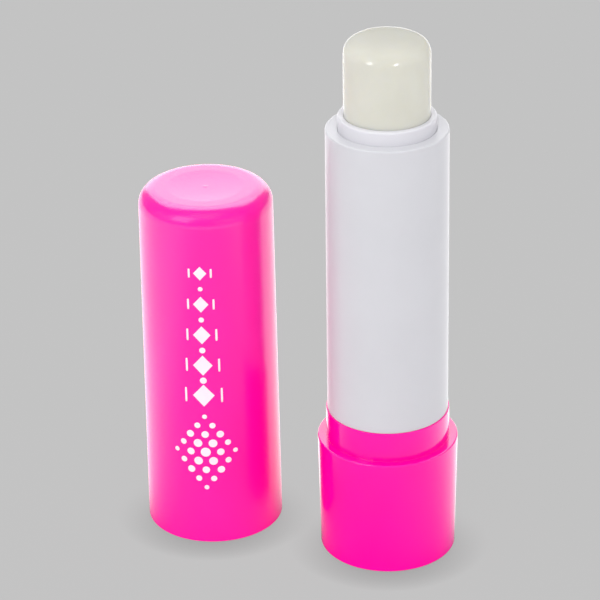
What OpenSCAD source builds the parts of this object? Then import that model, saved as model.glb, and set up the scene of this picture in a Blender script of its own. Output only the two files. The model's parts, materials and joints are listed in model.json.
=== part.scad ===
// Lip balm stick with a turning foot, shown open with its cap standing beside it.
// Millimetres, +Z up. The origin is the centre of the foot, on the surface it stands on.
// The sizes run from the balm outwards, so a thicker bar or wall moves all that is round it.

/* [Balm] */
// Diameter of the balm bar
balm_d = 11.54; // [9:0.02:14]
// Length of the bar from its foot in the carrier to its tip
balm_length = 48.6; // [44:0.1:54]
// How far the bar stands out of the collar, as it is stored
balm_out = 11; // [6:0.1:16]
// How far the tip lies below the collar's top when it is wound right down
balm_recess = 0.5; // [0.2:0.1:2]
// Height of the rounded tip
tip_h = 3.1; // [2:0.1:5]
// Gap between the bar and the bore that it slides in
balm_gap = 0.15; // [0.05:0.01:0.3]

/* [Carrier] */
// Height of the cup that holds the bar
cup_h = 9; // [6:0.1:11]
// Wall of the cup
cup_wall = 0.5; // [0.4:0.05:0.8]
// Floor of the cup
cup_floor_t = 1; // [0.8:0.1:2]
// Gap between the cup and the bore that it slides in
cup_gap = 0.1; // [0.05:0.01:0.2]
// Diameter of each lug
lug_d = 1.6; // [1.2:0.1:2.2]
// Height of the lug's centre above the underside of the cup
lug_h = 1.6; // [1.2:0.1:3]
// Thickness of each fin that grips the bar
fin_t = 0.5; // [0.3:0.05:0.8]
// How far each fin reaches in from the cup's wall
fin_w = 0.6; // [0.3:0.05:1]
// Number of fins
fin_count = 4; // [2:1:8]

/* [Inner tube] */
// Wall of the inner tube
tube_wall = 0.65; // [0.5:0.05:1]
// Height of the collar above the barrel's rim
collar_h = 1.9; // [1:0.1:4]
// Radius of the collar's rounded outer edge
collar_round = 0.25; // [0.1:0.05:0.4]
// Height of the lip in the collar's mouth that wipes the bar
lip_h = 0.5; // [0.3:0.1:1]
// Gap between the bar and the lip
lip_gap = 0.04; // [0.03:0.01:0.08]
// Height of the flange under the rim
flange_t = 0.8; // [0.5:0.1:1.5]
// How far the flange stands out from the tube
flange_w = 0.6; // [0.3:0.05:0.8]
// Height of the snap bead under the cam sleeve
bead_h = 0.8; // [0.5:0.1:1.2]
// How far the snap bead stands out from the tube
bead_w = 0.25; // [0.15:0.01:0.35]
// Length of the tapered lead below the snap bead
bead_lead = 0.7; // [0.4:0.1:1]

/* [Cam sleeve] */
// Wall of the cam sleeve
cam_wall = 0.85; // [0.8:0.05:1.2]
// Rise of each helical track in one full turn
track_pitch = 14.4; // [10:0.1:24]
// Depth of the tracks in the sleeve's wall
track_depth = 0.6; // [0.45:0.01:0.65]
// Length of sleeve below the lugs when they are at the bottom
cam_tail = 2; // [1.5:0.1:3]
// Width of each key that turns the sleeve with the knob
key_w = 1.6; // [1:0.1:2.5]
// Length of each key
key_h = 5; // [3:0.1:6]
// How far each key stands out from the sleeve
key_d = 0.5; // [0.3:0.05:0.7]

/* [Barrel] */
// Wall of the barrel at its foot
barrel_wall = 0.78; // [0.6:0.01:1.2]
// Height of the barrel from its foot to its rim
barrel_h = 41.45; // [37:0.05:50]
// How much the barrel's radius shrinks from foot to rim
barrel_taper = 0.1; // [0:0.01:0.2]
// Thickness of the rim
rim_t = 0.9; // [0.6:0.1:1.6]
// Radius of the rim's rounded outer edge
rim_round = 0.35; // [0.1:0.05:0.5]
// Radius of the rounded edge at the barrel's foot
barrel_foot_round = 0.15; // [0.05:0.05:0.3]

/* [Base knob] */
// Height from the foot to the shoulder
knob_h = 17; // [14:0.1:24]
// Height of the neck above the shoulder
neck_h = 4.25; // [3:0.05:6]
// How far the neck stands out from the barrel
neck_step = 0.18; // [0.05:0.01:0.4]
// How far the shoulder stands out from the neck
shoulder_step = 1.2; // [0.8:0.05:2]
// How much the knob's radius shrinks from shoulder to foot
knob_taper = 0.28; // [0:0.02:0.6]
// Wall of the knob's skirt
knob_wall = 1.1; // [0.8:0.05:1.3]
// Floor of the knob
knob_floor_t = 1.2; // [0.8:0.1:2]
// Thickness of the web under the shoulder
web_t = 1.4; // [1:0.1:2.5]
// Radius of the rounded edge at the foot
knob_foot_round = 0.15; // [0.1:0.05:0.8]
// Radius of the rounded edge at the shoulder
shoulder_round = 0.25; // [0.1:0.05:0.5]
// Thickness of each rib inside the knob
rib_t = 0.8; // [0.5:0.05:1.2]
// Number of ribs inside the knob
rib_count = 8; // [4:1:12]

/* [Cap] */
// Wall of the cap at its mouth
cap_wall = 1.02; // [0.8:0.02:1.5]
// How much the cap's outer radius shrinks from mouth to top
cap_taper = 0.38; // [0:0.02:0.6]
// How much the cap's wall thins above the grip
cap_relief = 0.14; // [0.05:0.01:0.2]
// Height of the band that grips the neck
grip_h = 3.6; // [2:0.1:4.2]
// Thickness of the cap's top at its highest ring
cap_top_t = 1.7; // [1:0.1:2]
// Room between the collar and the cap's top when the cap is on
cap_room = 1.5; // [1:0.1:5]
// Radius of the cap's rounded top edge
cap_round = 2.45; // [1:0.05:3]
// Radius of the rounded edge at the cap's mouth
mouth_round = 0.1; // [0.05:0.05:0.4]
// Width of the flat ring between the rounded edge and the dish in the cap's top
ring_w = 1.5; // [0.1:0.1:2]
// Depth of the dish
dish_depth = 0.15; // [0.1:0.05:0.5]
// Width of the dish's sloping side
dish_slope = 2.6; // [1:0.1:4]
// Diameter of the moulding nub in the middle of the dish
nub_d = 0.9; // [0.4:0.1:1.4]
// Height of the moulding nub
nub_h = 0.05; // [0.03:0.01:0.1]
// Place of the cap's middle to the right of the stick's middle
cap_x = -24.5; // [-40:0.1:-22]
// Place of the cap's middle behind the stick's middle
cap_y = 8.9; // [0:0.1:20]

/* [Fits] */
// Radial clearance of a running fit
running_gap = 0.06; // [0.03:0.01:0.09]
// Radial clearance of a seat that is pressed or snapped together
seat_gap = 0.02; // [0.01:0.01:0.04]
// End clearance of the parts that turn
end_gap = 0.06; // [0.05:0.01:0.2]
// Clearance round each lug in its slot
slot_gap = 0.1; // [0.05:0.01:0.2]
// Clearance round each lug in its track
track_gap = 0.15; // [0.1:0.01:0.25]
// Clearance between the snap bead and the ledge round it
ledge_gap = 0.18; // [0.1:0.01:0.25]
// Clearance between the cap and the neck
cap_gap = 0.05; // [0.02:0.01:0.1]

/* [Hidden] */
// How far a cut runs past the face that it opens
overrun = 0.5;
round_fn = 96;
lug_fn = 32;
arc_steps = 6;
tip_steps = 16;
track_steps = 24;
track_count = 2;
// Squareness of the tip: 2 is an ellipse, and more is squarer
tip_power = 3.2;

// Radii from the balm outwards
balm_r = balm_d / 2;
tube_bore_r = balm_r + balm_gap;
lip_r = balm_r + lip_gap;
tube_r = tube_bore_r + tube_wall;
bead_r = tube_r + bead_w;
flange_r = tube_r + flange_w;
cam_bore_r = tube_r + running_gap;
track_r = cam_bore_r + track_depth;
cam_r = cam_bore_r + cam_wall;
key_r = cam_r + key_d;
barrel_bore_r = cam_r + running_gap;
barrel_foot_r = barrel_bore_r + barrel_wall;
barrel_top_r = barrel_foot_r - barrel_taper;
neck_r = barrel_foot_r + neck_step;
knob_top_r = neck_r + shoulder_step;
knob_foot_r = knob_top_r - knob_taper;
ledge_r = bead_r + ledge_gap;
cup_r = tube_bore_r - cup_gap;
cup_bore_r = cup_r - cup_wall;
lug_tip_r = track_r - track_gap;
grip_r = neck_r + cap_gap;
cap_mouth_r = grip_r + cap_wall;
cap_top_r = cap_mouth_r - cap_taper;

// Heights from the foot upwards
web_z = knob_h - web_t;
neck_top_z = knob_h + neck_h;
barrel_foot_z = neck_top_z + end_gap;
rim_z = barrel_foot_z + barrel_h;
flange_top_z = rim_z - rim_t;
flange_z = flange_top_z - flange_t;
collar_z = rim_z + collar_h;
tip_z = collar_z + balm_out;
cup_floor_z = tip_z - balm_length;
cup_z = cup_floor_z - cup_floor_t;
cup_rim_z = cup_z + cup_h;

// Travel of the bar from where it is stored
travel_down = balm_out + balm_recess;
travel_up = collar_z - lip_h - end_gap - cup_rim_z;
lug_z = cup_z + lug_h;
lug_low_z = lug_z - travel_down;
lug_high_z = lug_z + travel_up;

// The cam sleeve hangs between the flange and the snap bead
cam_foot_z = min(lug_low_z - cam_tail, neck_top_z - key_h);
cam_top_z = flange_z - end_gap;
bead_top_z = cam_foot_z - end_gap;
bead_z = bead_top_z - bead_h;
tube_foot_z = bead_z - bead_lead;

// The tracks
track_slope = atan(track_pitch / (2 * PI * cam_bore_r));
track_h = (lug_d + 2 * track_gap) / cos(track_slope);
track_start_z = cam_foot_z - track_h;
track_end_z = lug_high_z + lug_d / 2;
track_rings = ceil(track_steps * (track_end_z - track_start_z) / track_pitch);

// The cap
cap_h = collar_z - knob_h + cap_room + cap_top_t;
cap_ceiling_z = cap_h - cap_top_t;
cap_inner_round = cap_round - cap_relief;
dish_r = cap_top_r - cap_round - ring_w;
dish_z = cap_h - dish_depth;

// Points on an arc round a centre, from one angle to another
function arc(centre, radius, from, to) = [
    for (i = [0:arc_steps])
        let (angle = from + (to - from) * i / arc_steps)
            centre + radius * [cos(angle), sin(angle)]
];

// Points of the tip's outline, from the bar's side up to its middle
function tip_outline() = [
    for (i = [0:tip_steps])
        let (angle = 90 * i / tip_steps)
            [balm_r * pow(cos(angle), 2 / tip_power),
             tip_z - tip_h + tip_h * pow(sin(angle), 2 / tip_power)]
];

// Turns an outline of radius and height round the stick's axis
module turned(outline) {
    rotate_extrude($fn = round_fn)
        polygon(outline);
}

// The radial fins of the cup, thicker by a margin on each side when they are cut out of the bar
module fins(margin, top_z) {
    fin_reach = fin_w + margin;
    for (i = [0:fin_count - 1])
        rotate([0, 0, 360 * (i + 1 / 2) / fin_count])
            translate([cup_bore_r - fin_reach, -fin_t / 2 - margin, cup_floor_z])
                cube([fin_reach + cup_wall / 2, fin_t + 2 * margin, top_z - cup_floor_z]);
}

// The two keys, grown by a margin on each side when they are cut out of the neck
module keys(margin, top_z) {
    key_x = cam_r - track_depth / 2;
    for (side = [-1, 1])
        rotate([0, 0, 90 * side])
            translate([key_x, -key_w / 2 - margin, cam_foot_z])
                cube([key_r + margin - key_x, key_w + 2 * margin, top_z - cam_foot_z]);
}

// One ring of a track's cutter: a rectangle across the wall at a height on the helix
function track_ring(z) =
    let (
        angle = 360 * (lug_z - z) / track_pitch,
        inner = cam_bore_r - overrun,
        low = z - track_h / 2,
        high = z + track_h / 2
    ) [
        [inner * cos(angle), inner * sin(angle), low],
        [track_r * cos(angle), track_r * sin(angle), low],
        [track_r * cos(angle), track_r * sin(angle), high],
        [inner * cos(angle), inner * sin(angle), high]
    ];

// A helical cutter: rings of four points joined by triangles and closed at both ends
module track_cutter() {
    sides = 4;
    points = [
        for (i = [0:track_rings])
            each track_ring(track_start_z + (track_end_z - track_start_z) * i / track_rings)
    ];
    walls = [
        for (i = [0:track_rings - 1], j = [0:sides - 1])
            let (
                a = i * sides + j,
                b = i * sides + (j + 1) % sides,
                c = b + sides,
                d = a + sides
            )
                each [[a, c, b], [a, d, c]]
    ];
    last = track_rings * sides;
    ends = [[0, 1, 2], [0, 2, 3], [last, last + 2, last + 1], [last, last + 3, last + 2]];
    polyhedron(points = points, faces = concat(walls, ends));
}

// Pink cap, standing on its mouth beside the stick
module cap() {
    shell = concat(
        [[0, 0]],
        arc([cap_mouth_r - mouth_round, mouth_round], mouth_round, -90, 0),
        arc([cap_top_r - cap_round, cap_h - cap_round], cap_round, 0, 90),
        [
            [dish_r, cap_h],
            [dish_r - dish_slope, dish_z],
            [nub_d / 2, dish_z],
            [nub_d / 2, dish_z + nub_h],
            [0, dish_z + nub_h]
        ]
    );
    hollow = concat(
        [[0, -overrun], [grip_r, -overrun], [grip_r, grip_h], [grip_r + cap_relief, grip_h + cap_relief]],
        arc([cap_top_r - cap_wall + cap_relief - cap_inner_round, cap_ceiling_z - cap_inner_round],
            cap_inner_round, 0, 90),
        [[0, cap_ceiling_z]]
    );
    color("deeppink")
        translate([cap_x, cap_y, 0])
            difference() {
                turned(shell);
                turned(hollow);
            }
}

// White outer sleeve with its flat rim
module barrel() {
    color("white")
        turned(concat(
            [[barrel_bore_r, barrel_foot_z]],
            arc([barrel_foot_r - barrel_foot_round, barrel_foot_z + barrel_foot_round],
                barrel_foot_round, -90, 0),
            arc([barrel_top_r - rim_round, rim_z - rim_round], rim_round, 0, 90),
            [
                [tube_r + seat_gap, rim_z],
                [tube_r + seat_gap, flange_top_z],
                [barrel_bore_r, flange_top_z]
            ]
        ));
}

// White inner tube with its collar, two slots for the lugs and a snap bead at its foot
module inner_tube() {
    slot_w = lug_d + 2 * slot_gap;
    slot_reach = 2 * (bead_r + overrun);
    color("whitesmoke")
        difference() {
            turned(concat(
                [
                    [tube_bore_r, tube_foot_z],
                    [tube_r - bead_w, tube_foot_z],
                    [bead_r, bead_z],
                    [bead_r, bead_top_z],
                    [tube_r, bead_top_z],
                    [tube_r, flange_z],
                    [flange_r, flange_z],
                    [flange_r, flange_top_z],
                    [tube_r, flange_top_z]
                ],
                arc([tube_r - collar_round, collar_z - collar_round], collar_round, 0, 90),
                [[lip_r, collar_z], [lip_r, collar_z - lip_h], [tube_bore_r, collar_z - lip_h]]
            ));
            translate([-slot_reach / 2, -slot_w / 2, lug_low_z])
                cube([slot_reach, slot_w, lug_high_z - lug_low_z]);
            for (end_z = [lug_low_z, lug_high_z])
                translate([-slot_reach / 2, 0, end_z])
                    rotate([0, 90, 0])
                        cylinder(h = slot_reach, d = slot_w, $fn = lug_fn);
        }
}

// Ivory wax bar, poured round the fins of the carrier
module balm() {
    foot_r = cup_bore_r - seat_gap;
    color("ivory")
        difference() {
            turned(concat(
                [[0, cup_floor_z], [foot_r, cup_floor_z], [foot_r, cup_rim_z], [balm_r, cup_rim_z]],
                tip_outline()
            ));
            translate([0, 0, -overrun])
                fins(seat_gap, cup_rim_z + overrun);
        }
}

// White cup with two lugs that run in the slots and the tracks
module carrier() {
    color("gainsboro") {
        difference() {
            translate([0, 0, cup_z])
                cylinder(h = cup_h, r = cup_r, $fn = round_fn);
            translate([0, 0, cup_floor_z])
                cylinder(h = cup_h, r = cup_bore_r, $fn = round_fn);
        }
        fins(0, cup_rim_z - cup_wall);
        for (side = [0, 180])
            rotate([0, 0, side])
                translate([cup_bore_r, 0, lug_z])
                    rotate([0, 90, 0])
                        cylinder(h = lug_tip_r - cup_bore_r, d = lug_d, $fn = lug_fn);
    }
}

// Sleeve that turns with the knob round the inner tube and drives the lugs up and down
module cam_sleeve() {
    color("lightgray")
        difference() {
            union() {
                translate([0, 0, cam_foot_z])
                    cylinder(h = cam_top_z - cam_foot_z, r = cam_r, $fn = round_fn);
                keys(0, cam_foot_z + key_h);
            }
            translate([0, 0, cam_foot_z - overrun])
                cylinder(h = cam_top_z - cam_foot_z + 2 * overrun, r = cam_bore_r, $fn = round_fn);
            for (i = [0:track_count - 1])
                rotate([0, 0, 360 * i / track_count])
                    track_cutter();
        }
}

// Pink turning foot: a ribbed skirt, a shoulder and the neck that the cap grips
module base_knob() {
    shell = concat(
        [[0, 0]],
        arc([knob_foot_r - knob_foot_round, knob_foot_round], knob_foot_round, -90, 0),
        arc([knob_top_r - shoulder_round, knob_h - shoulder_round], shoulder_round, 0, 90),
        [[neck_r, knob_h], [neck_r, neck_top_z], [0, neck_top_z]]
    );
    hollow = [
        [0, knob_floor_t],
        [knob_foot_r - knob_wall, knob_floor_t],
        [knob_top_r - knob_wall, web_z],
        [0, web_z]
    ];
    rib = [
        [ledge_r, knob_floor_t / 2],
        [knob_foot_r - knob_wall / 2, knob_floor_t / 2],
        [knob_top_r - knob_wall / 2, web_z + web_t / 2],
        [ledge_r, web_z + web_t / 2]
    ];
    color("deeppink")
        difference() {
            union() {
                difference() {
                    turned(shell);
                    turned(hollow);
                }
                for (i = [0:rib_count - 1])
                    rotate([0, 0, 360 * (i + 1 / 2) / rib_count])
                        rotate([90, 0, 0])
                            linear_extrude(rib_t, center = true)
                                polygon(rib);
            }
            translate([0, 0, cam_foot_z])
                cylinder(h = neck_top_z - cam_foot_z + overrun, r = cam_r + seat_gap, $fn = round_fn);
            keys(seat_gap, neck_top_z + overrun);
        }
}

cap();
barrel();
inner_tube();
balm();
carrier();
cam_sleeve();
base_knob();
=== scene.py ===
import json
import math

import bpy
import numpy as np
from mathutils import Matrix, Vector


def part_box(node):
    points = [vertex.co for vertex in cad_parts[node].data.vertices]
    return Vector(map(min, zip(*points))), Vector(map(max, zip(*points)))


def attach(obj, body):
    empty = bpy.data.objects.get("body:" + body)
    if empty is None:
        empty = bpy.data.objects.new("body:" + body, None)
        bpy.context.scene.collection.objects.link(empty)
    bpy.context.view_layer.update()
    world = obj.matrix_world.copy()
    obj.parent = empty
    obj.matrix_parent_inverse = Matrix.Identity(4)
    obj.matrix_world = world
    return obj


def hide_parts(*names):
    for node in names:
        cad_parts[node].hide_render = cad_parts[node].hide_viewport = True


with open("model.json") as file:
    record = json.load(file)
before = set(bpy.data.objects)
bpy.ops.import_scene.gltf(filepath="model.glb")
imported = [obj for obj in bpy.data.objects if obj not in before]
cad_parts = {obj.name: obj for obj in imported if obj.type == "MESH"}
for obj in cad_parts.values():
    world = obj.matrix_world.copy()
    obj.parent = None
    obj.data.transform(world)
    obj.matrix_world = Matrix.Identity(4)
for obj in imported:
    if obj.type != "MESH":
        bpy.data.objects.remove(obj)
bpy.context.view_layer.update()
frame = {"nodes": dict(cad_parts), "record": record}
mm = 0.001  # the frame is in metres
mounts = {mount["name"]: mount for mount in frame["record"]["mounts"]}


# A colour code as it is seen on a screen, turned into the linear light that shaders work in
def hexToLinear(code):
    parts = np.array([int(code[i : i + 2], 16) for i in (1, 3, 5)]) / 255
    linear = np.where(parts <= 0.04045, parts / 12.92, ((parts + 0.055) / 1.055) ** 2.4)
    return (*linear.tolist(), 1.0)


# Noise in object coordinates repeats once a metre at scale 1, so a real size in millimetres sets the scale
def patternScale(sizeMm):
    return 1 / (sizeMm * mm)


# Adds one node, sets its own properties or its sockets, and links what feeds it
def addNode(tree, kind, settings=None, links=None):
    node = tree.nodes.new(kind)
    for name, value in (settings or {}).items():
        if name in node.inputs:
            node.inputs[name].default_value = value
        else:
            setattr(node, name, value)
    for name, source in (links or {}).items():
        tree.links.new(source, node.inputs[name])
    return node


# An empty material with its output, ready for a shader
def newMaterial(name):
    material = bpy.data.materials.new(name)
    material.use_nodes = True
    material.node_tree.nodes.clear()
    output = addNode(material.node_tree, "ShaderNodeOutputMaterial")
    return material, material.node_tree, output


noiseForm = {
    "cloudDetail": 3.0, "cloudRoughness": 0.5, "grainDetail": 2.0, "grainRoughness": 0.6, "span": (0.3, 0.7),
}


# Two colours mixed by soft noise of a real size, and a bump of a finer one
def mottledSurface(tree, recipe):
    low, high = noiseForm["span"]
    place = addNode(tree, "ShaderNodeTexCoord").outputs["Object"]
    cloud = addNode(tree, "ShaderNodeTexNoise",
                    {"Scale": patternScale(recipe["cloudMm"]),
                     "Detail": noiseForm["cloudDetail"], "Roughness": noiseForm["cloudRoughness"]},
                    {"Vector": place})
    ramp = addNode(tree, "ShaderNodeValToRGB", links={"Fac": cloud.outputs["Fac"]})
    deep, light = ramp.color_ramp.elements
    deep.position, light.position = low, high
    deep.color, light.color = hexToLinear(recipe["deep"]), hexToLinear(recipe["light"])
    grain = addNode(tree, "ShaderNodeTexNoise",
                    {"Scale": patternScale(recipe["grainMm"]),
                     "Detail": noiseForm["grainDetail"], "Roughness": noiseForm["grainRoughness"]},
                    {"Vector": place})
    gloss = addNode(tree, "ShaderNodeMapRange",
                    {"From Min": low, "From Max": high,
                     "To Min": recipe["roughness"][0], "To Max": recipe["roughness"][1]},
                    {"Value": grain.outputs["Fac"]})
    bump = addNode(tree, "ShaderNodeBump",
                   {"Strength": recipe["bump"], "Distance": recipe["bumpMm"] * mm},
                   {"Height": grain.outputs["Fac"]})
    return ramp.outputs["Color"], gloss.outputs["Result"], bump.outputs["Normal"]


# A moulded or poured solid: mottled colour and gloss over a principled shader. Where the recipe gives depths
# for red, green and blue, light goes that far in
def solidMaterial(name, recipe):
    material, tree, output = newMaterial(name)
    colour, gloss, normal = mottledSurface(tree, recipe)
    settings = {"IOR": recipe["ior"], "Specular IOR Level": recipe["specular"]}
    if "depthMm" in recipe:
        settings |= {"Subsurface Weight": recipe["subsurface"], "Subsurface Scale": 1.0,
                     "Subsurface Radius": [depth * mm for depth in recipe["depthMm"]]}
    shader = addNode(tree, "ShaderNodeBsdfPrincipled", settings,
                     {"Base Color": colour, "Roughness": gloss, "Normal": normal})
    tree.links.new(shader.outputs["BSDF"], output.inputs["Surface"])
    return material


# The grain that a mould leaves is finer than a pixel, so on every plastic it is drawn coarser than it is

# Injection-moulded polypropylene with a neon pink pigment, from a mould with a fine satin skin: vivid, with
# reflections that are a little spread
capPlastic = solidMaterial("satinPinkPolypropylene", {
    "deep": "#FF009E", "light": "#FF00A2", "cloudMm": 9.0,
    "grainMm": 0.6, "bump": 0.02, "bumpMm": 0.002, "roughness": (0.23, 0.25),
    "ior": 1.49, "specular": 0.5,
})
# The same pink polypropylene from a polished mould: a deep, even colour under a clear gloss
knobPlastic = solidMaterial("glossyPinkPolypropylene", {
    "deep": "#FF009E", "light": "#FF00A2", "cloudMm": 9.0,
    "grainMm": 0.6, "bump": 0.06, "bumpMm": 0.002, "roughness": (0.08, 0.1),
    "ior": 1.49, "specular": 0.5,
})
# Injection-moulded polypropylene in plain white: faintly blue, a little translucent, a satin finish
whitePlastic = solidMaterial("satinWhitePolypropylene", {
    "deep": "#C7C7CC", "light": "#CACACF", "cloudMm": 12.0,
    "grainMm": 0.8, "bump": 0.02, "bumpMm": 0.002, "roughness": (0.28, 0.3),
    "ior": 1.49, "specular": 0.09, "subsurface": 0.15, "depthMm": (0.6, 0.6, 0.65),
})
# The same polypropylene on the inner tube, its colour painted a touch paler than the barrel's as painted
# light, to lift the collar out of the shade of the balm and the rim
collarPlasticPaintedLighter = solidMaterial("paleWhitePolypropylene", {
    "deep": "#D1D0D6", "light": "#D4D3D9", "cloudMm": 12.0,
    "grainMm": 0.8, "bump": 0.05, "bumpMm": 0.002, "roughness": (0.28, 0.32),
    "ior": 1.49, "specular": 0.08, "subsurface": 0.1, "depthMm": (0.5, 0.5, 0.5),
})
# Moulded acetal in its natural colour: a dull milky white on the parts that rub
naturalAcetal = solidMaterial("naturalAcetal", {
    "deep": "#D6D5CD", "light": "#DEDDD6", "cloudMm": 6.0,
    "grainMm": 0.4, "bump": 0.3, "bumpMm": 0.006, "roughness": (0.4, 0.48),
    "ior": 1.48, "specular": 0.4, "subsurface": 0.2, "depthMm": (1.0, 1.0, 0.9),
})
# Poured wax balm: ivory, light goes some millimetres in, and the skin has a soft oily sheen
waxBalm = solidMaterial("pouredWaxBalm", {
    "deep": "#CCCBC1", "light": "#D0CFC6", "cloudMm": 5.0,
    "grainMm": 1.6, "bump": 0.05, "bumpMm": 0.01, "roughness": (0.14, 0.16),
    "ior": 1.44, "specular": 0.03, "subsurface": 0.6, "depthMm": (1.5, 1.3, 0.9),
})
# Pad-printed ink: an opaque white film with almost no gloss
whiteInk = solidMaterial("padPrintedWhiteInk", {
    "deep": "#EFDDEA", "light": "#F4E6F0", "cloudMm": 1.5,
    "grainMm": 0.15, "bump": 0.3, "bumpMm": 0.003, "roughness": (0.45, 0.55),
    "ior": 1.5, "specular": 0.4,
})
print("materials done")


samePlace = 1e-9  # metres


# Puts grids of points into one mesh. Rows run along the outline, columns round it; faces point to the side
# that lies right of the outline's way. A row on the axis is one point, and a closed grid joins its last row
# to its first
def gridPiece(name, grids, material, body, closedRows=False):
    points, faces = [], []
    for grid in grids:
        rows, columns = grid.shape[:2]
        index = np.arange(rows * columns).reshape(rows, columns)
        for row in (0, rows - 1):
            if np.ptp(grid[row], axis=0).max() < samePlace:
                index[row] = index[row, 0]
        near = index if closedRows else index[:-1]
        far = np.roll(index, -1, axis=0) if closedRows else index[1:]
        quads = np.stack([near, np.roll(near, -1, axis=1), np.roll(far, -1, axis=1), far], axis=-1)
        used = np.unique(index)
        renumber = np.zeros(rows * columns, int)
        renumber[used] = np.arange(len(used)) + sum(len(part) for part in points)
        faces += [list(dict.fromkeys(quad)) for quad in renumber[quads.reshape(-1, 4)].tolist()]
        points.append(grid.reshape(-1, 3)[used])
    mesh = bpy.data.meshes.new(name)
    mesh.from_pydata(np.concatenate(points).tolist(), [], faces)
    return finishPiece(name, mesh, material, body)


# Smooth shading, a material and a body to ride on
def finishPiece(name, mesh, material, body):
    mesh.polygons.foreach_set("use_smooth", np.ones(len(mesh.polygons), bool))
    mesh.materials.append(material)
    mesh.validate()
    mesh.update()
    piece = bpy.data.objects.new(name, mesh)
    bpy.context.scene.collection.objects.link(piece)
    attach(piece, body)
    return piece


# Corners of radius, height and rounding in millimetres become a line with an arc at each rounded corner. An
# arc's point is its centre plus the spokes to its two ends, weighted by the sines of the sweep that is left
# and the sweep that is done. Points close to each arc's ends keep the smooth shading of the flats flat
def roundedOutline(corners, closed=False, arcSteps=10, hold=0.06, stride=1.2):
    corners = np.array(corners, float)
    count = len(corners)
    pieces = []
    for i in range(count):
        here, rounding = corners[i, :2], corners[i, 2]
        before, after = corners[i - 1, :2], corners[(i + 1) % count, :2]
        if rounding == 0 or (not closed and i in (0, count - 1)):
            pieces.append(here[None])
            continue
        inward, outward = before - here, after - here
        inward, outward = inward / np.linalg.norm(inward), outward / np.linalg.norm(outward)
        half = math.acos(np.clip(inward @ outward, -1, 1)) / 2
        middle = (inward + outward) / np.linalg.norm(inward + outward)
        centre = here + middle * rounding / math.sin(half)
        start, end = here + inward * rounding / math.tan(half), here + outward * rounding / math.tan(half)
        share = np.linspace(0, 1, arcSteps + 1)[:, None]
        sweep = math.pi - 2 * half
        spokes = (np.sin((1 - share) * sweep) * (start - centre) + np.sin(share * sweep) * (end - centre))
        pieces.append(centre + spokes / math.sin(sweep))
    ends = pieces + [pieces[0]] if closed else pieces
    line = [pieces[0]]
    for i in range(len(ends) - 1):
        a, b = ends[i][-1], ends[i + 1][0]
        length = np.linalg.norm(b - a)
        if length > 3 * hold:
            inside = np.linspace(hold, length - hold, max(2, int(length / stride) + 1))
            line.append(a + (b - a) * inside[:, None] / length)
        if i + 1 < len(pieces):
            line.append(ends[i + 1])
    return np.concatenate(line)


# Turns an outline round an upright axis: each point's radius goes round a circle at its height
def turned(outline, centre, segments=240):
    angle = np.linspace(0, 2 * math.pi, segments, endpoint=False)
    radius, height = outline[:, :1] * mm, outline[:, 1:] * mm
    return np.stack([centre[0] + radius * np.cos(angle), centre[1] + radius * np.sin(angle),
                     np.broadcast_to(height, (len(outline), segments))], axis=-1)


# The middle, half width, foot and top of a node, in millimetres but for the middle
def nodeSizes(node):
    low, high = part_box(node)
    centre = (low + high) / 2
    return centre, (high.x - low.x) / 2 / mm, low.z / mm, high.z / mm


capShape = {
    "taper": 0.38, "relief": 0.14, "wall": 1.02, "topWall": 1.7, "mouthEdge": 0.12, "gripEdge": 0.1,
    "topEdge": 2.45,
    "ring": 1.5, "ringEdge": 6.0, "dishDepth": 0.15, "dishSlope": 2.6, "dishEdge": 68.0,
    "nubRadius": 0.4, "nubHeight": 0.035, "nubFootEdge": 0.8, "nubTopEdge": 0.5, "nubTopShare": 0.25,
}


# Half-section of the cap from the middle of its ceiling, down inside, round the mouth and up to its top
def makeCap(shape):
    centre, mouth, foot, height = nodeSizes("cap")
    bore = mounts["cap_mouth"]["dims"]["r_mm"]
    grip = mounts["cap_mouth"]["dims"]["length_mm"]
    top = mouth - shape["taper"]
    ceiling = height - shape["topWall"]
    dishRim = top - shape["topEdge"] - shape["ring"]
    dishFloor = height - shape["dishDepth"]
    outline = roundedOutline([
        (0, ceiling, 0),
        (top - shape["wall"] + shape["relief"], ceiling, shape["topEdge"] - shape["relief"]),
        (bore + shape["relief"], grip + shape["relief"], shape["gripEdge"]),
        (bore, grip, shape["gripEdge"]),
        (bore, foot, shape["gripEdge"]),
        (mouth, foot, shape["mouthEdge"]),
        (top, height, shape["topEdge"]),
        (dishRim, height, shape["ringEdge"]),
        (dishRim - shape["dishSlope"], dishFloor, shape["dishEdge"]),
        (shape["nubRadius"], dishFloor, shape["nubFootEdge"]),
        (shape["nubRadius"] * shape["nubTopShare"], dishFloor + shape["nubHeight"], shape["nubTopEdge"]),
        (0, dishFloor + shape["nubHeight"], 0),
    ])
    piece = gridPiece("cap_shell", [turned(outline, centre)], capPlastic, "cap")
    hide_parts("cap")
    return piece


makeCap(capShape)

printShape = {
    "azimuth": -5.0, "lift": 0.02, "sink": 0.03, "hold": 0.03, "rowMm": 0.35, "edgePoints": 96,
    "latticeHeight": 14.5, "latticeSteps": (1.05, 1.4), "latticeReach": 2, "latticeDots": (0.7, 0.34),
    "columnFrom": 23.4, "columnTo": 42.0, "motifs": 9, "rhombus": (1.5, 1.7), "dot": 0.5, "topScale": 0.6,
    "bar": (0.14, 1.1), "barGap": 2.5, "rhombusPower": 1.0, "dotPower": 2.0, "barPower": 6.0,
}


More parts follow.
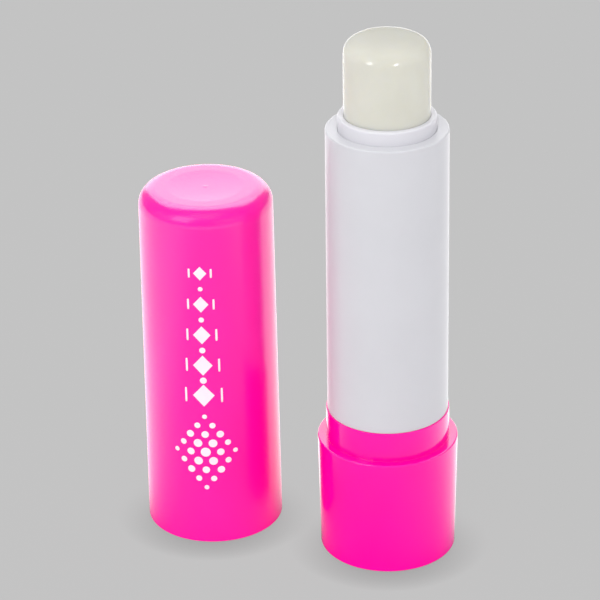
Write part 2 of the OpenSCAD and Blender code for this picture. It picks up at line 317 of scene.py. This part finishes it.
# A patch of ink on the cap's wall. Its outline is a superellipse, of power 1 for a rhombus, 2 for a dot and
# more for a bar, with the radius (|cos|^p + |sin|^p)^(-1/p). Rows run from its middle to its edge, the last
# close together so that the film stays flat, and the edge dips into the wall
def inkPatch(shape, across, height, halfWidth, halfHeight, power):
    centre, mouth, _, capHeight = nodeSizes("cap")
    angle = np.linspace(0, 2 * math.pi, shape["edgePoints"], endpoint=False)
    reach = (np.abs(np.cos(angle)) ** power + np.abs(np.sin(angle)) ** power) ** (-1 / power)
    steps = int(max(halfWidth, halfHeight) / shape["rowMm"]) + 2
    edge = 1 - shape["hold"] / min(halfWidth, halfHeight)
    share = np.concatenate([np.linspace(0, edge, steps), [1, 1]])[:, None]
    lift = np.full((len(share), 1), shape["lift"])
    lift[-1] = -shape["sink"]
    z = height + halfHeight * share * reach * np.sin(angle)
    wall = mouth - capShape["taper"] * z / capHeight
    turn = math.radians(shape["azimuth"]) + (across - halfWidth * share * reach * np.cos(angle)) / wall
    radius = (wall + lift) * mm
    return np.stack([centre.x + radius * np.sin(turn), centre.y - radius * np.cos(turn), z * mm], axis=-1)


# A lozenge of dots that get smaller outwards, and above it a column of rhombi, dots and bars that get
# smaller upwards
def makePrint(shape):
    patches = []
    reach = shape["latticeReach"]
    stepAcross, stepUp = shape["latticeSteps"]
    bigDot, smallDot = shape["latticeDots"]
    for i in range(-reach, reach + 1):
        for j in range(-reach, reach + 1):
            dot = bigDot + (smallDot - bigDot) * (abs(i) + abs(j)) / (2 * reach)
            patches.append(inkPatch(shape, (i - j) * stepAcross, shape["latticeHeight"] + (i + j) * stepUp,
                                    dot, dot, shape["dotPower"]))
    for i, height in enumerate(np.linspace(shape["columnFrom"], shape["columnTo"], shape["motifs"])):
        scale = 1 + (shape["topScale"] - 1) * i / (shape["motifs"] - 1)
        if i % 2:
            dot = shape["dot"] * scale
            patches.append(inkPatch(shape, 0, height, dot, dot, shape["dotPower"]))
            continue
        halfWidth, halfHeight = [size * scale for size in shape["rhombus"]]
        patches.append(inkPatch(shape, 0, height, halfWidth, halfHeight, shape["rhombusPower"]))
        for side in (-1, 1):
            patches.append(inkPatch(shape, side * shape["barGap"] * scale, height, shape["bar"][0],
                                    shape["bar"][1] * scale, shape["barPower"]))
    return gridPiece("cap_print", patches, whiteInk, "cap")


makePrint(printShape)
print("cap done")


knobShape = {
    "taper": 0.28, "wall": 1.1, "floor": 1.2, "web": 1.4, "footEdge": 0.18, "shoulderEdge": 0.2,
    "neckEdge": 0.04, "neckRoot": 0.03, "boreEdge": 0.1, "webEdge": 0.2, "floorEdge": 0.3, "sleevePlay": 0.02,
    "ribs": 8, "ribWidth": 0.8, "ribReach": 7.0, "ribEdge": 0.05, "ribArcSteps": 3, "ribFlatShare": 0.97,
}


# Half-section of the knob from under its foot, up the skirt and neck, down the bore and back inside
def makeKnob(shape):
    centre, shoulderRadius, foot, neckTop = nodeSizes("base_knob")
    neck = mounts["cap_seat"]["dims"]["r_mm"]
    shoulder = neckTop - mounts["cap_seat"]["dims"]["length_mm"]
    bore = sleeveRadius() + shape["sleevePlay"]
    footRadius = shoulderRadius - shape["taper"]
    outline = roundedOutline([
        (0, foot, 0),
        (footRadius, foot, shape["footEdge"]),
        (shoulderRadius, shoulder, shape["shoulderEdge"]),
        (neck, shoulder, shape["neckRoot"]),
        (neck, neckTop, shape["neckEdge"]),
        (bore, neckTop, shape["boreEdge"]),
        (bore, shoulder - shape["web"], shape["boreEdge"]),
        (shoulderRadius - shape["wall"], shoulder - shape["web"], shape["webEdge"]),
        (footRadius - shape["wall"], shape["floor"], shape["floorEdge"]),
        (0, shape["floor"], 0),
    ])
    piece = gridPiece("knob_shell", [turned(outline, centre)], knobPlastic, "base")
    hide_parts("base_knob")
    return piece


# The cam sleeve's outer radius: its box is widest across X, where there is no key
def sleeveRadius():
    return nodeSizes("cam_sleeve")[1]


# Plates that stand across the hollow of the knob, each from the seat of the cam sleeve to the skirt, and
# sunk half way into the walls round it. Rows run over the plate's thickness, from the middle of one side to
# the middle of the other
def makeRibs(shape):
    centre, shoulderRadius, _, neckTop = nodeSizes("base_knob")
    sleeveFoot = nodeSizes("cam_sleeve")[2]
    seat = sleeveRadius() + shape["sleevePlay"]
    low = shape["floor"] / 2
    high = neckTop - mounts["cap_seat"]["dims"]["length_mm"] - shape["web"] / 2
    skirt = shoulderRadius - shape["wall"] / 2
    corners = [(shape["ribReach"], low), (skirt - shape["taper"], low), (skirt, high), (seat, high),
               (seat, sleeveFoot), (shape["ribReach"], sleeveFoot)]
    outline = roundedOutline([(*corner, shape["ribEdge"]) for corner in corners], closed=True,
                             arcSteps=shape["ribArcSteps"])
    middle = np.array([(seat + skirt) / 2, (low + high) / 2])
    flat = shape["ribFlatShare"]
    share = np.array([0, flat, 1, 1, flat, 0])[:, None, None]
    side = np.array([1, 1, 1, -1, -1, -1])[:, None] * shape["ribWidth"] / 2
    section = middle + (outline - middle) * share
    plates = []
    for turn in 2 * math.pi * (np.arange(shape["ribs"]) + 0.5) / shape["ribs"]:
        x = section[..., 0] * math.cos(turn) - side * math.sin(turn)
        y = section[..., 0] * math.sin(turn) + side * math.cos(turn)
        plates.append(np.stack([centre.x + x * mm, centre.y + y * mm, section[..., 1] * mm], axis=-1))
    return gridPiece("knob_ribs", plates, knobPlastic, "base")


makeKnob(knobShape)
makeRibs(knobShape)
print("knob done")


barrelShape = {
    "taper": 0.1, "rim": 0.9, "rimEdge": 0.22, "footEdge": 0.04, "footDrop": 0.045, "boreEdge": 0.1,
    "holeEdge": 0.05, "ceilingEdge": 0.2, "sleevePlay": 0.06, "collar": 6.57, "collarPlay": 0.02,
}


# Closed half-section of the barrel: foot, outer wall, flat rim, hole for the tube and the bore
def makeBarrel(shape):
    centre, footRadius, foot, rim = nodeSizes("barrel")
    foot -= shape["footDrop"]
    bore = sleeveRadius() + shape["sleevePlay"]
    hole = shape["collar"] + shape["collarPlay"]
    outline = roundedOutline([
        (bore, foot, shape["boreEdge"]),
        (footRadius, foot, shape["footEdge"]),
        (footRadius - shape["taper"], rim, shape["rimEdge"]),
        (hole, rim, shape["holeEdge"]),
        (hole, rim - shape["rim"], shape["holeEdge"]),
        (bore, rim - shape["rim"], shape["ceilingEdge"]),
    ], closed=True)
    piece = gridPiece("barrel_sleeve", [turned(outline, centre)], whitePlastic, "barrel",
                      closedRows=True)
    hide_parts("barrel")
    return piece


makeBarrel(barrelShape)
print("barrel done")


balmShape = {
    "tipHeight": 3.1, "tipPower": 3.2, "tipRows": 48,
    "cupHeight": 8.0, "cupBore": 5.3, "footEdge": 0.1, "cupRimEdge": 0.05, "ledgeEdge": 0.1,
}


# Side and tip of the bar. Below the cup's rim the wax fills the cup. The tip is a superellipse, on which the
# radius over its largest and the height over its largest, each to the tip's power, add up to one
def makeBalm(shape):
    centre, radius, foot, tip = nodeSizes("balm")
    cupRim = foot + shape["cupHeight"]
    side = roundedOutline([
        (0, foot, 0),
        (shape["cupBore"], foot, shape["footEdge"]),
        (shape["cupBore"], cupRim, shape["cupRimEdge"]),
        (radius, cupRim, shape["ledgeEdge"]),
        (radius, tip - shape["tipHeight"], 0),
    ])
    angle = np.linspace(0, math.pi / 2, shape["tipRows"] + 1)[1:]
    power = 2 / shape["tipPower"]
    dome = np.stack([radius * np.abs(np.cos(angle)) ** power,
                     tip - shape["tipHeight"] + shape["tipHeight"] * np.sin(angle) ** power], axis=-1)
    dome[-1] = (0, tip)
    piece = gridPiece("balm_bar", [turned(np.concatenate([side, dome]), centre)], waxBalm, "bar")
    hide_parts("balm")
    return piece


balm = makeBalm(balmShape)
print("balm done")

# The pieces inside keep their own meshes
# The inner tube takes the white that is painted paler, standing in for light on its collar
innerMaterials = {"inner_tube": collarPlasticPaintedLighter, "carrier": naturalAcetal, "cam_sleeve": naturalAcetal}
for nodeName, material in innerMaterials.items():
    node = frame["nodes"][nodeName]
    node.data.materials.clear()
    node.data.materials.append(material)


# The camera stands where the photograph's did: the fit gives its pitch, roll, distance and lens
cameraFit = {
    "focalPixels": 2775.15, "pitch": 26.477, "roll": -1.008, "distance": 0.392733,
    "originPixel": (387.899, 536.388), "imagePixels": 600, "sensorMm": 36,
}


def makeCamera(fit):
    pitch, roll = math.radians(fit["pitch"]), math.radians(fit["roll"])
    ahead = Vector((0, math.cos(pitch), -math.sin(pitch)))
    upright = Vector((0, math.sin(pitch), math.cos(pitch)))
    right = Vector((1, 0, 0)) * math.cos(roll) + upright * math.sin(roll)
    up = -Vector((1, 0, 0)) * math.sin(roll) + upright * math.cos(roll)
    perPixel = fit["distance"] / fit["focalPixels"]
    across = (fit["originPixel"][0] - fit["imagePixels"] / 2) * perPixel
    down = (fit["originPixel"][1] - fit["imagePixels"] / 2) * perPixel
    place = -(ahead * fit["distance"] + right * across - up * down)
    data = bpy.data.cameras.new("photoCamera")
    data.sensor_width = fit["sensorMm"]
    data.lens = fit["focalPixels"] / fit["imagePixels"] * fit["sensorMm"]
    camera = bpy.data.objects.new("photoCamera", data)
    turn = Matrix((right, up, -ahead)).transposed().to_4x4()
    camera.matrix_world = Matrix.Translation(place) @ turn
    bpy.context.scene.collection.objects.link(camera)
    bpy.context.scene.camera = camera


makeCamera(cameraFit)


# A soft box of even radiance: power is pi times area times radiance. Azimuth runs from the front to the
# right, and the box faces the object square on. It either scatters, and gives plain light, or it shines, and
# is what a gloss mirrors
def addSoftBox(name, box):
    data = bpy.data.lights.new(name, "AREA")
    data.shape = "RECTANGLE"
    data.size, data.size_y = box["width"], box["height"]
    data.energy = math.pi * box["width"] * box["height"] * box["radiance"]
    azimuth, elevation = math.radians(box["azimuth"]), math.radians(box["elevation"])
    away = Vector((math.sin(azimuth) * math.cos(elevation), -math.cos(azimuth) * math.cos(elevation),
                   math.sin(elevation)))
    lamp = bpy.data.objects.new(name, data)
    lamp.location = Vector(lampAim) + away * box["distance"]
    lamp.rotation_mode = "QUATERNION"
    lamp.rotation_quaternion = (-away).to_track_quat("-Z", "Y")
    lamp.visible_camera = False
    lamp.visible_diffuse = box["scatters"]
    lamp.visible_glossy = not box["scatters"]
    if "reach" in box:
        lamp.light_linking.receiver_collection = box["reach"]
    bpy.context.scene.collection.objects.link(lamp)


lampAim = (-0.008, 0.003, 0.035)


# A collection that lets a lamp reach the balm alone, or everything but the balm
def lampReach(name, state):
    reach = bpy.data.collections.new(name)
    reach.objects.link(balm)
    reach.collection_objects[0].light_linking.link_state = state
    return reach


# The balm has a front box of its own, lower than the one for the plastics. Wax mirrors little, so the two
# small boxes for its glints are very bright
onlyBalm = lampReach("onlyBalm", "INCLUDE")
allButBalm = lampReach("allButBalm", "EXCLUDE")
softBoxes = {
    "backLow": {"azimuth": 180, "elevation": 22, "distance": 0.9, "width": 0.9, "height": 0.73,
                "radiance": 3.0, "scatters": False, "reach": allButBalm},
    "backHigh": {"azimuth": 180, "elevation": 56, "distance": 0.8, "width": 0.9, "height": 0.38,
                 "radiance": 5.0, "scatters": False, "reach": allButBalm},
    "frontLeft": {"azimuth": -45, "elevation": 34, "distance": 0.9, "width": 0.45, "height": 0.5,
                  "radiance": 3.0, "scatters": False},
    "frontTop": {"azimuth": -8, "elevation": 65, "distance": 1.0, "width": 0.7, "height": 0.7,
                 "radiance": 3.1, "scatters": True, "reach": allButBalm},
    "frontBalm": {"azimuth": -8, "elevation": 58, "distance": 1.0, "width": 0.7, "height": 0.7,
                  "radiance": 2.55, "scatters": True, "reach": onlyBalm},
    "leftFill": {"azimuth": -75, "elevation": 20, "distance": 1.0, "width": 0.7, "height": 0.5,
                 "radiance": 2.05, "scatters": True},
    "rightFill": {"azimuth": 40, "elevation": 20, "distance": 1.0, "width": 0.7, "height": 0.5,
                  "radiance": 1.8, "scatters": True},
    "glintLeft": {"azimuth": -47, "elevation": 8, "distance": 0.8, "width": 0.22, "height": 0.22,
                  "radiance": 200.0, "scatters": False, "reach": onlyBalm},
    "glintRight": {"azimuth": 23, "elevation": 6, "distance": 0.8, "width": 0.16, "height": 0.14,
                   "radiance": 420.0, "scatters": False, "reach": onlyBalm},
}
for boxName, box in softBoxes.items():
    addSoftBox(boxName + "Box", box)

roomLight = {
    "background": "#C3C3C3", "room": 0.5, "lean": 0.25, "brightSide": (-0.2, -0.6, 0.77),
    "floorShare": 0.02, "floorLight": 1.0, "floorWhite": "#F0F0F0", "floorMetres": 6.0,
    # These contact values paint a shadow round the feet on the floor that the eye sees
    "contactMm": 5.0, "contactShare": 0.5, "contactSamples": 16,
    # These shade, spot and level values paint the glow and the shadows that glosses see in the floor
    "shadeMm": 60.0, "shadePower": 3.5, "shadeSamples": 8, "openWay": (0.0, 0.98, 0.2),
    "darkSpotMm": (-10.0, -66.0, 0.0), "darkSpotReachMm": (50.0, 108.0), "glossLevels": (0.8, 2.05),
}


# What the eye, a gloss or a clear wall sees is told apart from light that is scattered
def seenDirectly(tree):
    path = addNode(tree, "ShaderNodeLightPath")
    glossOrEye = addNode(tree, "ShaderNodeMath", {"operation": "ADD"})
    tree.links.new(path.outputs["Is Camera Ray"], glossOrEye.inputs[0])
    tree.links.new(path.outputs["Is Glossy Ray"], glossOrEye.inputs[1])
    seen = addNode(tree, "ShaderNodeMath", {"operation": "ADD", "use_clamp": True})
    tree.links.new(glossOrEye.outputs["Value"], seen.inputs[0])
    tree.links.new(path.outputs["Is Transmission Ray"], seen.inputs[1])
    return seen.outputs["Value"]


# Seen directly, the world is the pale background. Scattered light comes from a room that is brighter
# towards one side
def makeRoom(room):
    world = bpy.data.worlds.new("studioRoom")
    bpy.context.scene.world = world
    world.use_nodes = True
    tree = world.node_tree
    tree.nodes.clear()
    direction = addNode(tree, "ShaderNodeTexCoord").outputs["Generated"]
    lean = addNode(tree, "ShaderNodeVectorMath", {"operation": "DOT_PRODUCT"})
    tree.links.new(direction, lean.inputs[0])
    lean.inputs[1].default_value = room["brightSide"]
    level = addNode(tree, "ShaderNodeMapRange",
                    {"From Min": -1.0, "From Max": 1.0,
                     "To Min": room["room"] - room["lean"], "To Max": room["room"] + room["lean"]},
                    {"Value": lean.outputs["Value"]})
    walls = addNode(tree, "ShaderNodeBackground", {"Color": (1, 1, 1, 1)},
                    {"Strength": level.outputs["Result"]})
    plain = addNode(tree, "ShaderNodeBackground",
                    {"Color": hexToLinear(room["background"]), "Strength": 1.0})
    mixed = addNode(tree, "ShaderNodeMixShader", links={"Fac": seenDirectly(tree)})
    tree.links.new(walls.outputs["Background"], mixed.inputs[1])
    tree.links.new(plain.outputs["Background"], mixed.inputs[2])
    addNode(tree, "ShaderNodeOutputWorld", links={"Surface": mixed.outputs["Shader"]})


# How open a place on the floor is within a reach, towards the back: 1 in the open, less by the object. It
# sets how deep the painted shadows on the floor are
def openness(tree, room, reachMm, samples):
    way = addNode(tree, "ShaderNodeCombineXYZ", dict(zip("XYZ", room["openWay"])))
    look = addNode(tree, "ShaderNodeAmbientOcclusion", {"samples": samples, "Distance": reachMm * mm},
                   {"Normal": way.outputs["Vector"]})
    return look.outputs["AO"]


# What the eye sees of the floor: the flat pale background, with a painted contact shadow round the feet
def eyeLevel(tree, room):
    grey = hexToLinear(room["background"])[0] - room["floorShare"] * room["floorLight"]
    level = addNode(tree, "ShaderNodeMapRange",
                    {"To Min": grey * (1 - room["contactShare"]), "To Max": grey},
                    {"Value": openness(tree, room, room["contactMm"], room["contactSamples"])})
    return level.outputs["Result"]


# What a gloss sees of the floor is a painted reflection: a glow that is brighter at the sides and behind, and
# a painted shadow that is duller in front and in the object's shade
def glossLevel(tree, room):
    spotLow, spotHigh = room["darkSpotReachMm"]
    fromSpot = addNode(tree, "ShaderNodeVectorMath", {"operation": "DISTANCE"})
    tree.links.new(addNode(tree, "ShaderNodeTexCoord").outputs["Object"], fromSpot.inputs[0])
    fromSpot.inputs[1].default_value = [place * mm for place in room["darkSpotMm"]]
    brighter = addNode(tree, "ShaderNodeMapRange",
                       {"interpolation_type": "SMOOTHSTEP",
                        "From Min": spotLow * mm, "From Max": spotHigh * mm,
                        "To Min": room["glossLevels"][0], "To Max": room["glossLevels"][1]},
                       {"Value": fromSpot.outputs["Value"]})
    shade = addNode(tree, "ShaderNodeMath", {"operation": "POWER"})
    tree.links.new(openness(tree, room, room["shadeMm"], room["shadeSamples"]), shade.inputs[0])
    shade.inputs[1].default_value = room["shadePower"]
    level = addNode(tree, "ShaderNodeMath", {"operation": "MULTIPLY"})
    tree.links.new(brighter.outputs["Result"], level.inputs[0])
    tree.links.new(shade.outputs["Value"], level.inputs[1])
    return level.outputs["Value"]


# The floor is a white sheet to scattered light. Seen directly it glows at a level of its own with painted
# shadows on it, and takes only a little of the object's real shadow
def makeFloor(room):
    material, tree, output = newMaterial("whitePaperSheet")
    white = addNode(tree, "ShaderNodeBsdfDiffuse", {"Color": hexToLinear(room["floorWhite"])})
    seenDiffuse = addNode(tree, "ShaderNodeBsdfDiffuse", {"Color": (*[room["floorShare"]] * 3, 1)})
    level = addNode(tree, "ShaderNodeMix", {"data_type": "FLOAT"})
    tree.links.new(addNode(tree, "ShaderNodeLightPath").outputs["Is Glossy Ray"], level.inputs["Factor"])
    tree.links.new(eyeLevel(tree, room), level.inputs["A"])
    tree.links.new(glossLevel(tree, room), level.inputs["B"])
    seenPaintedGlow = addNode(tree, "ShaderNodeEmission", {"Color": (1, 1, 1, 1)},
                       {"Strength": level.outputs["Result"]})
    seenBoth = addNode(tree, "ShaderNodeAddShader")
    tree.links.new(seenDiffuse.outputs["BSDF"], seenBoth.inputs[0])
    tree.links.new(seenPaintedGlow.outputs["Emission"], seenBoth.inputs[1])
    mixed = addNode(tree, "ShaderNodeMixShader", links={"Fac": seenDirectly(tree)})
    tree.links.new(white.outputs["BSDF"], mixed.inputs[1])
    tree.links.new(seenBoth.outputs["Shader"], mixed.inputs[2])
    tree.links.new(mixed.outputs["Shader"], output.inputs["Surface"])
    side = room["floorMetres"] / 2
    corners = [(-side, -side, 0), (side, -side, 0), (side, side, 0), (-side, side, 0)]
    mesh = bpy.data.meshes.new("floor")
    mesh.from_pydata(corners, [], [(0, 1, 2, 3)])
    mesh.materials.append(material)
    floor = bpy.data.objects.new("floor", mesh)
    bpy.context.scene.collection.objects.link(floor)


makeRoom(roomLight)
makeFloor(roomLight)
bpy.context.scene.view_settings.view_transform = "Standard"
print("camera, lamps and floor done")
